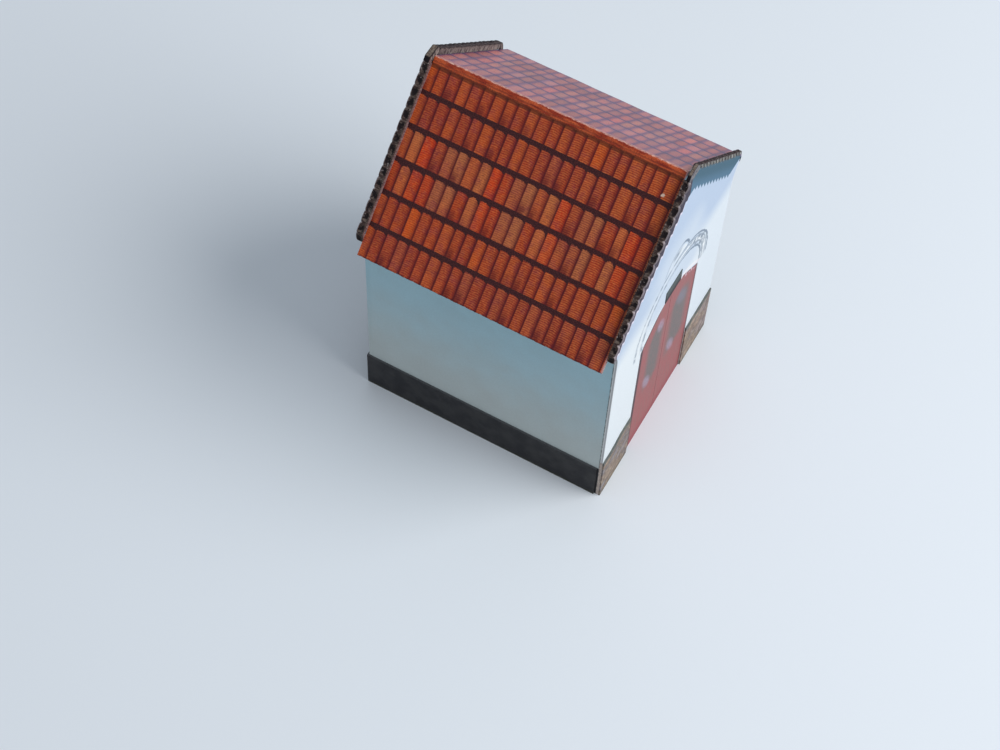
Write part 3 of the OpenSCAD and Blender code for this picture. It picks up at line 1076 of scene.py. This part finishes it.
def make_piece(name, shell, materials, sharp=SHEET_SHARP):
    """A piece riding on the root body. Its shell is the points in millimetres, the faces, each face's
    material number and each point's place on the flat sheet. Edges over the sharp angle stay sharp."""
    points, faces, kinds, flat = shell
    mesh = bpy.data.meshes.new(name)
    mesh.from_pydata(np.asarray(points) * MM, [], [list(map(int, face)) for face in faces])
    mesh.polygons.foreach_set("material_index", np.asarray(kinds, dtype=np.int32))
    corner_points = np.empty(len(mesh.loops), dtype=np.int32)
    mesh.loops.foreach_get("vertex_index", corner_points)
    layer = mesh.uv_layers.new(name=SHEET_MAP)
    layer.data.foreach_set("uv", np.asarray(flat, dtype=np.float32)[corner_points].ravel())
    for material in materials:
        mesh.materials.append(material)
    mesh.shade_smooth()
    mesh.set_sharp_from_angle(angle=math.radians(sharp))
    mesh.update()
    piece = bpy.data.objects.new(name, mesh)
    bpy.context.scene.collection.objects.link(piece)
    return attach(piece, "root")


def border(rows, columns):
    """Corner numbers round a grid's border, against the clock seen from outside."""
    numbers = np.arange(rows * columns).reshape(rows, columns)
    return np.concatenate([numbers[0, :-1], numbers[:-1, -1], numbers[-1, :0:-1], numbers[:0:-1, 0]])


def sheet_shell(top, under, flat, turned):
    """Closed card between two grids of points: the printed grid, the other one with its squares turned
    over, and a strip of squares round the border, as kinds 0, 1 and 2. Both grids have the same places
    on the flat sheet."""
    rows, columns = top.shape[:2]
    count = rows * columns
    points = np.concatenate([top.reshape(-1, 3), under.reshape(-1, 3)])
    upper = grid_quads(rows, columns)
    lower = grid_quads(rows, columns, count)[:, ::-1]
    ring = border(rows, columns)
    after = np.roll(ring, -1)
    sides = np.stack([ring, ring + count, after + count, after], axis=-1)
    faces = np.concatenate([upper, lower, sides])
    if turned:
        faces = faces[:, ::-1]
    kinds = np.repeat([0, 1, 2], [len(upper), len(lower), len(sides)])
    return points, faces, kinds, np.concatenate([flat.reshape(-1, 2)] * 2)


def waves(values, seed, lengths):
    """Sum of sine waves of the given lengths with seeded phases, about -1 to 1."""
    phases = np.random.default_rng(seed).uniform(0, 2 * math.pi, len(lengths))
    total = sum(np.sin(2 * math.pi * values / length + phase) for length, phase in zip(lengths, phases))
    return total / len(lengths)


def roof_sheet(look, side):
    """One half of the folded roof sheet on side 1 or -1. Straight up the slope from the eaves, then
    round the fold: x = r sin(a) and z = ridge - r / cos(pitch) + r cos(a), with a from the pitch to 0.
    Its underside is the straight slab. The slope swells, the eaves waver and fray, the fold crumples."""
    slope_steps, fold_steps, length_steps = 64, 7, 160
    swell, waver, fray, crumple = 0.10, 0.03, 0.05, 0.012
    fold = mm(look.fold_radius)
    straight = SLOPE_L - fold * math.tan(PITCH)
    up = np.linspace(0, straight, slope_steps)
    turn = np.linspace(PITCH, 0, fold_steps)[1:]
    x = np.concatenate([EAVE_X - up * math.cos(PITCH), fold * np.sin(turn)])
    fold_z = RIDGE_Z - fold / math.cos(PITCH) + fold * np.cos(turn)
    z = np.concatenate([EAVE_Z + up * math.sin(PITCH), fold_z])
    height = np.concatenate([up, straight + (PITCH - turn) * fold])
    y = np.linspace(-ROOF_END, ROOF_END - mm(look.back_gap), length_steps)
    grid_y, share = np.meshgrid(y, height / height[-1], indexing="ij")
    slack = np.sin(np.pi * share) * np.cos(np.pi * grid_y / (2 * ROOF_END))
    lift = swell * slack * waves(grid_y, 3 + side, (31, 17))
    lift += waver * (1 - share) ** 6 * waves(grid_y, 8 + side, (23, 9))
    ragged = fray * (share == 0) * waves(grid_y, 11 + side, (2.9, 1.3, 0.7))
    crumpled = crumple * share**60 * waves(grid_y, 20, (5.1, 2.3, 1.1))
    top = np.empty((*share.shape, 3))
    top[..., 0] = side * (x[None, :] + lift * math.sin(PITCH) * (1 - share) + ragged * math.cos(PITCH))
    top[..., 1] = grid_y
    top[..., 2] = z[None, :] + lift * math.cos(PITCH) + crumpled - ragged * math.sin(PITCH)
    under = np.empty_like(top)
    under_x = (EAVE_X - ROOF_T * math.sin(PITCH)) * (1 - share)
    under_z = (EAVE_Z - ROOF_T * math.cos(PITCH)) * (1 - share)
    under_ridge_z = RIDGE_Z - ROOF_T / math.cos(PITCH)
    under[..., 0] = side * (under_x + (lift + ragged) * math.sin(PITCH) * (1 - share))
    under[..., 1] = grid_y
    under[..., 2] = under_z + under_ridge_z * share + lift * math.cos(PITCH)
    flat = np.stack([ROOF_END + side * grid_y, np.broadcast_to(height[None, :], grid_y.shape)], axis=-1)
    return sheet_shell(top, under, flat, side > 0)


def strip_section(look, wave, tile, hang, bare, reach, leading):
    """Closed section of the tile strip at each place along it, from the foot of its inner face over
    the top and down the front. Returns depth from the front, height over the gable's edge and the
    place across, each as places by section points. The row facing the camera leads, and the others
    keep back and lean. Bare is 1 on the slope and falls to 0 where the strip turns down."""
    inner_steps, over_steps, down_steps = 6, 19, 7
    arch_half, hollow_half, rounding, bulge = 0.47, 0.36, 0.08, 0.05
    thin_lip, overlap, half_scallop = 0.02, 0.01, 0.5
    depth, foot = STRIP_BACK - STRIP_FRONT + reach, mm(look.foot) * bare[:, None]
    inner_up = np.linspace(0, 1, inner_steps)
    over = np.linspace(1, 0, over_steps)[1:-1]
    down = np.linspace(0, 1, down_steps)
    arch = np.sqrt(np.clip(1 - ((tile - 0.5) / arch_half) ** 2, 0, 1))
    crest = (mm(look.bed) + mm(look.round_back) * arch * wave)[:, None]
    hollow = np.clip(1 - (np.abs(tile - 0.5) / hollow_half) ** 3, 0, 1)
    trough = np.clip(np.sin(np.pi * np.clip((over - 0.05) / 0.85, 0, 1)), 0, 1) ** 0.6
    soft = rounding * np.abs(2 * over - 1) ** 6
    top = crest - mm(look.hollow) * hollow[:, None] * trough[None, :] - soft[None, :]
    drop = (mm(look.drop if leading else look.small_drop) * arch * hang * bare)[:, None]
    setback, lean, scallop = (0, 0, 1) if leading else (mm(look.setback), mm(look.lean), half_scallop)
    edge = setback + (mm(look.scallop) * scallop * (0.7 - arch))[:, None]
    inner_depth = np.full((len(tile), len(inner_up)), depth)
    over_depth = edge + lean + (depth - edge - lean) * over[None, :]
    front_depth = edge + lean * (1 - down[None, :]) - bulge * arch[:, None] * np.sin(np.pi * down[None, :])
    under = np.maximum(edge + thin_lip, mm(look.lip))
    section_depth = np.concatenate([inner_depth, over_depth, front_depth, under, under], axis=1)
    inner = -foot + (crest - rounding + foot) * inner_up[None, :]
    front = (crest - rounding) * (1 - down[None, :]) - drop * down[None, :]
    gable_edge = np.full_like(drop, overlap)
    height = np.concatenate([inner, top, front, -drop - overlap, gable_edge], axis=1)
    across = np.concatenate([2 - inner_up, over, -down, [-1.1], [-1.2]])
    return section_depth, height, np.broadcast_to(across, height.shape)


def row_path(look, along, tile_length):
    """Line on which a strip lies, over its tile numbers: down the slope, round the shoulder on a
    small arc and down its upright edge. Returns x, z and the normal's angle from upright, and bare."""
    straight = (SHOULDER_X - CROWN_HALF) / math.cos(PITCH)
    bend, turn, fade = mm(look.corner), math.pi / 2 - PITCH, 0.6
    first = straight / tile_length
    last = first + mm(look.corner_length) / tile_length
    share = np.clip((along - first) / (last - first), 0, 1)
    angle = PITCH + turn * share
    run = np.minimum(along, first) * tile_length
    fall = np.clip(along - last, 0, None) * tile_length
    x = CROWN_HALF + run * math.cos(PITCH) + bend * (np.sin(angle) - math.sin(PITCH))
    z = CROWN_Z - run * math.sin(PITCH) + bend * (np.cos(angle) - math.cos(PITCH)) - fall
    bare = np.clip((first - along) / fade, 0, 1)
    return x, z, angle, bare


def strip_shell(points, flat, turned):
    """Closed shell of sections set one after another, with a cap at each end."""
    places, section = points.shape[:2]
    numbers = np.arange(places * section).reshape(places, section)
    after = np.roll(numbers, -1, axis=1)
    sides = np.stack([numbers[:-1], after[:-1], after[1:], numbers[1:]], axis=-1).reshape(-1, 4)
    faces = [list(face) for face in sides]
    faces += [list(numbers[0][::-1]), list(numbers[-1])]
    if turned:
        faces = [face[::-1] for face in faces]
    return points.reshape(-1, 3), faces, np.zeros(len(faces)), flat.reshape(-1, 2)


def tile_row(look, side, end, seed):
    """One row of parapet tiles on side 1 or -1 of the front (end 1) or back (end -1). A place of the
    row's line moved by n along its normal lies at x = line + n sin(angle) and z = line + n cos(angle),
    with the angle at the pitch on the slope. Each tile differs a little in height and drop."""
    places_per_tile, end_gap, waver = 16, 0.1, 0.03
    tile_length, count = row_length() / look.tiles, look.tiles + 1
    random = np.random.default_rng(seed)
    along = np.linspace(0, count - end_gap, count * places_per_tile + 1)
    index = np.clip(along.astype(int), 0, count - 1)
    tile = np.clip(along - index, 0, 1)
    wave = random.uniform(0.8, 1.12, count)[index]
    hang = random.uniform(0.75, 1.1, count)[index]
    reach = mm(look.front_reach if end > 0 else look.back_reach)
    x, z, angle, bare = row_path(look, along, tile_length)
    depth, height, across = strip_section(look, wave, tile, hang, bare, reach, side < 0 < end)
    points = np.empty((*height.shape, 3))
    points[..., 0] = side * (x[:, None] + height * np.sin(angle)[:, None])
    points[..., 1] = end * (STRIP_FRONT + depth + waver * waves(along * 2, seed + 5, (5, 2))[:, None])
    points[..., 2] = z[:, None] + height * np.cos(angle)[:, None]
    flat = np.stack([np.broadcast_to(along[:, None], across.shape), across], axis=-1)
    return strip_shell(points, flat, side * end < 0)


def crown_tile(look, end):
    """Flat tile on the gable's flat top: its foot spans the flat, its flanks rise steeply from the
    two rows' upper corners to a level top, z = least of the top and spring + rise (1 - |q|) / flank,
    with q from -1 to 1. Its front and back lean inwards."""
    places, inner_steps, over_steps, down_steps = 25, 6, 13, 6
    flank, lowering, lean, kept_back = 0.36, 0.05, 0.1, 0.2
    front_setback, back_setback, map_middle, map_half = 0.15, 0.42, -1.5, 0.45
    q = np.linspace(-1, 1, places)
    bed = mm(look.bed) + mm(look.round_back)
    spring = CROWN_Z + bed * math.cos(PITCH)
    rise = mm(look.crown_front if end > 0 else look.crown_back) - (spring - CROWN_Z)
    back = spring + rise * np.minimum(1, (1 - np.abs(q)) / flank)
    inner_up = np.linspace(0, 1, inner_steps)
    over = np.linspace(1, 0, over_steps)[1:-1]
    down = np.linspace(0, 1, down_steps)
    soft = lowering * np.abs(2 * over - 1) ** 4
    share = np.concatenate([inner_up, np.ones(len(over)), 1 - down])
    lowered = np.concatenate([lowering * inner_up, soft, lowering * (1 - down)])
    outer = front_setback if end > 0 else back_setback
    inner = STRIP_BACK - STRIP_FRONT - kept_back + (0 if end > 0 else mm(look.back_reach))
    top_depth = outer + (inner - outer) * over
    depth = np.concatenate([inner + lean * (1 - inner_up), top_depth, outer - lean * down])
    points = np.empty((places, len(share), 3))
    top = back[:, None] - lowered[None, :]
    points[..., 0] = q[:, None] * (CROWN_HALF + bed * math.sin(PITCH) * share[None, :])
    points[..., 1] = end * (STRIP_FRONT + depth[None, :])
    points[..., 2] = CROWN_Z + (top - CROWN_Z) * share[None, :]
    across = np.concatenate([2 - inner_up, over, -down])
    flat = np.stack(np.broadcast_arrays(q[:, None] * map_half + map_middle, across[None, :]), axis=-1)
    return strip_shell(points, flat, end < 0)


def stone_strip(look, side):
    """Thin strip beside the door, printed all round. Its top edge wavers, and on the left it steps
    down to the corner: by step times 3 w squared - 2 w cubed, with w from 0 to 1 across the strip."""
    across_steps, up_steps, waver, raised = 40, 14, 0.08, 0.15
    inner, outer = STONE[:, 0].min(), STONE[:, 0].max()
    x = side * np.linspace(inner, outer, across_steps)
    top = STONE_TOP + waver * waves(x, 31, (5.3, 2.4, 1.3))
    if side < 0:
        low = np.clip((-x - inner) / (outer - inner) * 2.2 - 0.6, 0, 1)
        top = top + raised - mm(look.step) * low * low * (3 - 2 * low)
    share = np.linspace(0, 1, up_steps)
    grid = np.empty((len(x), len(share), 3))
    grid[..., 0] = x[:, None]
    grid[..., 1] = STONE[:, 1].min()
    grid[..., 2] = top[:, None] * share[None, :]
    under = grid.copy()
    under[..., 1] = STONE[:, 1].max()
    flat = np.stack([grid[..., 0], grid[..., 2] / top[:, None] * STONE_TOP], axis=-1)
    points, faces, kinds, flat = sheet_shell(grid, under, flat, side > 0)
    return points, faces, kinds * 0, flat


def paint_nodes(material, *nodes):
    """Gives frame nodes their only material."""
    for node in nodes:
        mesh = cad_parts[node].data
        mesh.materials.clear()
        mesh.materials.append(material)


class CHAPEL_OT_cards(bpy.types.Operator):
    """Finish the carrying cards of both gables"""

    bl_idname = "chapel.cards"
    bl_label = "Gable cards"

    def execute(self, context):
        paint_nodes(gable_card(context.scene.chapel_walls), "front_card", "back_card")
        return {"FINISHED"}


class CHAPEL_OT_walls(bpy.types.Operator):
    """Finish the plain side walls"""

    bl_idname = "chapel.walls"
    bl_label = "Side walls"

    def execute(self, context):
        paint_nodes(wall_card(context.scene.chapel_walls), "left_wall", "right_wall")
        return {"FINISHED"}


class CHAPEL_OT_facade(bpy.types.Operator):
    """Print the front and back sheets"""

    bl_idname = "chapel.facade"
    bl_label = "Gable sheets"

    def execute(self, context):
        look, walls = context.scene.chapel_facade, context.scene.chapel_walls
        paint_nodes(gable_print(look, walls, "front_print", True), "front_sheet")
        paint_nodes(gable_print(look, walls, "back_print", False), "back_sheet")
        return {"FINISHED"}


class CHAPEL_OT_roof(bpy.types.Operator):
    """Make the two halves of the folded roof sheet"""

    bl_idname = "chapel.roof"
    bl_label = "Roof sheet"

    def execute(self, context):
        look, walls = context.scene.chapel_roof, context.scene.chapel_walls
        materials = [roof_print(look), card_back(walls), cut_edge()]
        for side, sign in SIDES.items():
            node = "roof_" + side
            piece = make_piece(node + "_sheet", roof_sheet(look, sign), materials)
            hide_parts(node)
        return {"FINISHED"}


class CHAPEL_OT_tile_rows(bpy.types.Operator):
    """Make the four rows of parapet tiles"""

    bl_idname = "chapel.tile_rows"
    bl_label = "Tile rows"

    def execute(self, context):
        look = context.scene.chapel_strips
        material = strip_print(look)
        for seed, (end, side) in enumerate(itertools.product(ENDS, SIDES), start=ROW_SEED):
            node = f"{end}_tiles_{side}"
            row = tile_row(look, SIDES[side], ENDS[end], seed)
            piece = make_piece(node + "_strip", row, [material], STRIP_SHARP)
            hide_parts(node)
        return {"FINISHED"}


class CHAPEL_OT_crown_tiles(bpy.types.Operator):
    """Make the crown tile on each gable's flat top"""

    bl_idname = "chapel.crown_tiles"
    bl_label = "Crown tiles"

    def execute(self, context):
        look = context.scene.chapel_strips
        material = bpy.data.materials["strip_print"]
        for end, sign in ENDS.items():
            node = end + "_crown_tile"
            piece = make_piece(node + "_strip", crown_tile(look, sign), [material], STRIP_SHARP)
            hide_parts(node)
        return {"FINISHED"}


class CHAPEL_OT_door(bpy.types.Operator):
    """Print the door's leaves and the keystone"""

    bl_idname = "chapel.door"
    bl_label = "Door"

    def execute(self, context):
        look = context.scene.chapel_door
        paint_nodes(door_print(look), "door_leaf_left", "door_leaf_right")
        paint_nodes(keystone_print(look), "keystone")
        return {"FINISHED"}


class CHAPEL_OT_socles(bpy.types.Operator):
    """Make the stone strips beside the door and finish the dark strips"""

    bl_idname = "chapel.socles"
    bl_label = "Socles"

    def execute(self, context):
        look = context.scene.chapel_socles
        stones = stone_print(look)
        for side, sign in SIDES.items():
            node = "front_socle_" + side
            piece = make_piece(node + "_strip", stone_strip(look, sign), [stones])
            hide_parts(node)
        paint_nodes(dark_strip(look), "left_socle", "right_socle", "back_socle")
        return {"FINISHED"}


def floor_finish(look):
    """Floor that is pale where it is seen or mirrored, and duller where it lights the model."""
    finish = Finish("floor", roughness=0.9, specular=0.0)
    seen = seen_share(finish)
    return finish.finish(finish.mix(seen, look.bounce, look.floor))


def seen_share(finish):
    """1 for camera, mirror and see-through rays, else 0."""
    kinds = ("Camera", "Glossy", "Transmission")
    rays = [finish.node("LightPath", {}, {}, f"Is {kind} Ray") for kind in kinds]
    return rays[0].most(rays[1]).most(rays[2])


class SkyFinish(Finish):
    """The world's nodes, made in the same way as a finish."""

    def __init__(self, world):
        world.use_nodes = True
        self.tree = world.node_tree
        self.tree.nodes.clear()
        output = self.tree.nodes.new("ShaderNodeOutputWorld")
        self.shader = self.tree.nodes.new("ShaderNodeBackground")
        self.tree.links.new(self.shader.outputs[0], output.inputs["Surface"])


class CHAPEL_OT_stage(bpy.types.Operator):
    """Make the floor, the lamp, the surroundings and the camera"""

    bl_idname = "chapel.stage"
    bl_label = "Stage"

    def execute(self, context):
        look, scene = context.scene.chapel_stage, context.scene
        half = FLOOR_WIDTH / 2
        corners = [(-half, -half, 0), (half, -half, 0), (half, half, 0), (-half, half, 0)]
        mesh = bpy.data.meshes.new("floor")
        mesh.from_pydata(corners, [], [(0, 1, 2, 3)])
        mesh.materials.append(floor_finish(look))
        floor = bpy.data.objects.new("floor", mesh)
        scene.collection.objects.link(floor)

        world = bpy.data.worlds.new("surroundings")
        scene.world = world
        sky = SkyFinish(world)
        ambient = tuple(look.ambient * part for part in look.sky)
        sky.feed(sky.shader.inputs["Color"], sky.mix(seen_share(sky), ambient, look.floor))

        lamp = bpy.data.lights.new("key", "AREA")
        lamp.shape = "DISK"
        lamp.size = look.key_size
        lamp.energy = look.key * (math.pi * look.key_distance) ** 2
        key = bpy.data.objects.new("key", lamp)
        direction = Vector(look.key_from).normalized()
        key.location = direction * look.key_distance
        key.rotation_mode = "QUATERNION"
        key.rotation_quaternion = direction.to_track_quat("Z", "Y")
        key.visible_camera = False
        scene.collection.objects.link(key)

        camera_data = bpy.data.cameras.new("camera")
        camera_data.lens = look.lens
        camera_data.sensor_width = SENSOR_WIDTH
        camera_data.clip_start = NEAREST
        camera = bpy.data.objects.new("camera", camera_data)
        camera.location = look.place
        level, height = math.cos(look.elevation), math.sin(look.elevation)
        back = Vector((math.sin(look.azimuth) * level, -math.cos(look.azimuth) * level, height))
        camera.rotation_mode = "QUATERNION"
        camera.rotation_quaternion = back.to_track_quat("Z", "Y") @ Quaternion((0, 0, 1), look.roll)
        scene.collection.objects.link(camera)
        scene.camera = camera
        scene.view_settings.view_transform = "Standard"
        return {"FINISHED"}


class CHAPEL_PT_panel(bpy.types.Panel):
    """Steps of the chapel's looks"""

    bl_label = "Chapel"
    bl_idname = "CHAPEL_PT_panel"
    bl_space_type = "VIEW_3D"
    bl_region_type = "UI"
    bl_category = "Chapel"

    def draw(self, context):
        for operator in OPERATORS:
            self.layout.operator(operator.bl_idname)
        for name, group in GROUPS.items():
            box = self.layout.box()
            box.label(text=group.__name__)
            for field in group.__annotations__:
                box.prop(getattr(context.scene, name), field)


GROUPS = {
    "chapel_roof": RoofLook,
    "chapel_strips": StripLook,
    "chapel_facade": FacadeLook,
    "chapel_door": DoorLook,
    "chapel_socles": SocleLook,
    "chapel_walls": WallLook,
    "chapel_stage": StageLook,
}
OPERATORS = (
    CHAPEL_OT_stage,
    CHAPEL_OT_cards,
    CHAPEL_OT_walls,
    CHAPEL_OT_facade,
    CHAPEL_OT_roof,
    CHAPEL_OT_tile_rows,
    CHAPEL_OT_crown_tiles,
    CHAPEL_OT_door,
    CHAPEL_OT_socles,
)


def register():
    """Registers the classes and gives the scene its groups of sizes and colours."""
    for made in (*GROUPS.values(), *OPERATORS, CHAPEL_PT_panel):
        bpy.utils.register_class(made)
    for name, group in GROUPS.items():
        setattr(bpy.types.Scene, name, PointerProperty(type=group))


def unregister():
    """Takes away what register made."""
    for name in GROUPS:
        delattr(bpy.types.Scene, name)
    for made in reversed((*GROUPS.values(), *OPERATORS, CHAPEL_PT_panel)):
        bpy.utils.unregister_class(made)


def main():
    """Registers the add-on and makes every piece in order."""
    register()
    bpy.ops.chapel.stage()
    bpy.ops.chapel.cards()
    bpy.ops.chapel.walls()
    bpy.ops.chapel.facade()
    bpy.ops.chapel.roof()
    bpy.ops.chapel.tile_rows()
    bpy.ops.chapel.crown_tiles()
    bpy.ops.chapel.door()
    bpy.ops.chapel.socles()


if __name__ == "__main__":
    main()
